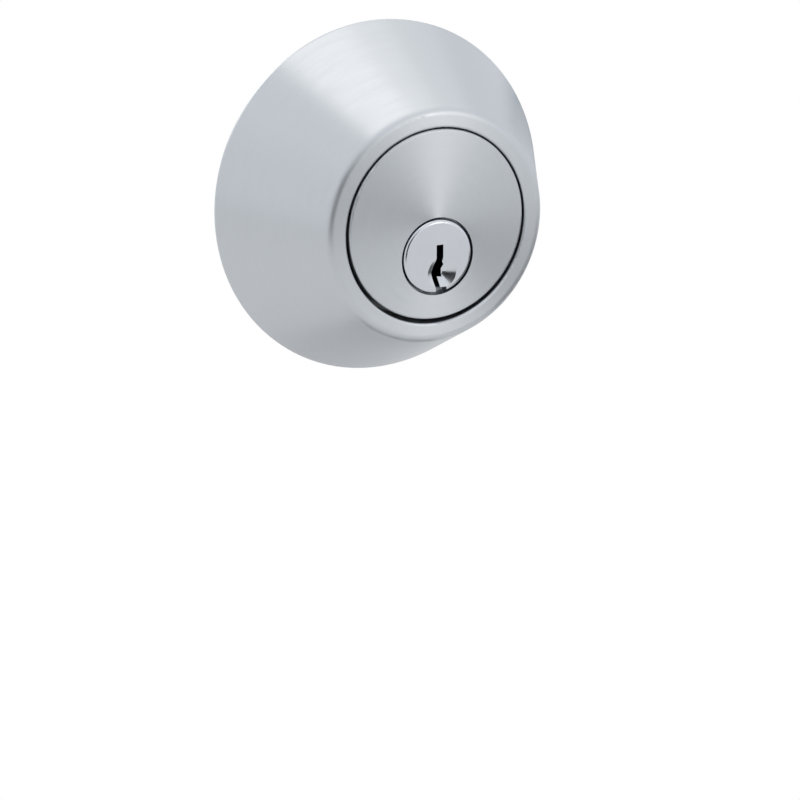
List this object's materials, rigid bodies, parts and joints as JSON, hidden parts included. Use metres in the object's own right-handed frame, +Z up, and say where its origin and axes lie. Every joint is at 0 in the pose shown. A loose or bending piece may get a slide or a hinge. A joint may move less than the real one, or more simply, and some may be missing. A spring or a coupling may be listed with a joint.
{
  "type": "deadbolt door lock",
  "caption": "Round deadbolt door lock: tapered spinning collar over a keyed cylinder outside, a tubular bolt in the door's edge and a thumbturn on a rose inside.",
  "frame": {"origin": "on the key plug's axis, which is also the bolt hub's axis, at the door's outer face", "axes": "+Y into the door from the outside, +X to the door's edge, the way the bolt is thrown, +Z up"},
  "size_m": [0.0939, 0.0966, 0.071],
  "materials": {
    "satin_metal": "satin, brushed in circles",
    "plug_metal": "nickel-plated, nearly polished",
    "die_cast": "bare die-cast zinc, dull",
    "zinc_plate": "bright zinc-plated steel",
    "brass": "turned brass",
    "spring_steel": "drawn spring steel",
    "hard_steel": "hardened and ground steel",
    "nylon": "natural nylon"
  },
  "bodies": {
    "lock_case": {"cylinder_body": "satin_metal", "collar_washer": "spring_steel", "drill_guard_pins": "hard_steel", "driver_pins": "brass", "pin_springs": "spring_steel", "pin_cover": "brass", "case_plate_outer": "zinc_plate", "case_plate_inner": "zinc_plate", "case_rivets": "zinc_plate", "bolt_sleeve": "zinc_plate", "back_plate": "zinc_plate", "face_plate": "satin_metal", "face_screws": "satin_metal", "support_plate": "die_cast", "inner_rose": "satin_metal", "mounting_screws": "satin_metal", "detent_leaf": "spring_steel"},
    "collar": {"outer_collar": "satin_metal", "collar_liner": "die_cast"},
    "key_plug": {"plug": "plug_metal", "key_pins": "brass", "plug_cap": "brass"},
    "tail_blade": {"tailpiece": "zinc_plate"},
    "crank_arm": {"crank": "die_cast", "drive_pin": "hard_steel"},
    "dead_bolt": {"bolt": "satin_metal", "roller_stop": "zinc_plate", "bolt_tail": "zinc_plate", "tail_rivet": "zinc_plate"},
    "saw_roller": {"bolt_roller": "hard_steel"},
    "thumb_turn": {"thumbturn": "satin_metal", "turn_washer": "nylon", "turn_clip": "spring_steel"}
  },
  "joints": [
    {"name": "thumbturn_turn", "type": "hinge", "parent": "lock_case", "child": "thumb_turn", "pos_m": [0, 0.04445, 0], "axis": [0, 1, 0], "range_deg": [0, 90]},
    {"name": "plug_turn", "type": "hinge", "parent": "lock_case", "child": "key_plug", "pos_m": [0, -0.01, 0], "axis": [0, 1, 0], "range_deg": [0, 90]},
    {"name": "tailpiece_turn", "type": "hinge", "parent": "lock_case", "child": "tail_blade", "pos_m": [0, 0.02223, 0], "axis": [0, 1, 0], "range_deg": [0, 90]},
    {"name": "crank_turn", "type": "hinge", "parent": "lock_case", "child": "crank_arm", "pos_m": [0, 0.02223, 0], "axis": [0, 1, 0], "range_deg": [0, 90], "deforming": ["detent_leaf"]},
    {"name": "bolt_throw", "type": "slide", "parent": "lock_case", "child": "dead_bolt", "axis": [1, 0, 0], "range_m": [0, 0.0254]},
    {"name": "collar_spin", "type": "hinge", "parent": "lock_case", "child": "collar", "pos_m": [0, -0.01, 0.00542], "axis": [0, 1, 0], "continuous": true},
    {"name": "roller_spin", "type": "hinge", "parent": "dead_bolt", "child": "saw_roller", "pos_m": [0.045, 0.02223, -0.0042], "axis": [1, 0, 0], "continuous": true}
  ],
  "couplings": [
    {"joint": "thumbturn_turn", "follows": "bolt_throw", "rad_per_m": 61.842},
    {"joint": "plug_turn", "follows": "bolt_throw", "rad_per_m": 61.842},
    {"joint": "tailpiece_turn", "follows": "bolt_throw", "rad_per_m": 61.842},
    {"joint": "crank_turn", "follows": "bolt_throw", "rad_per_m": 61.842}
  ]
}
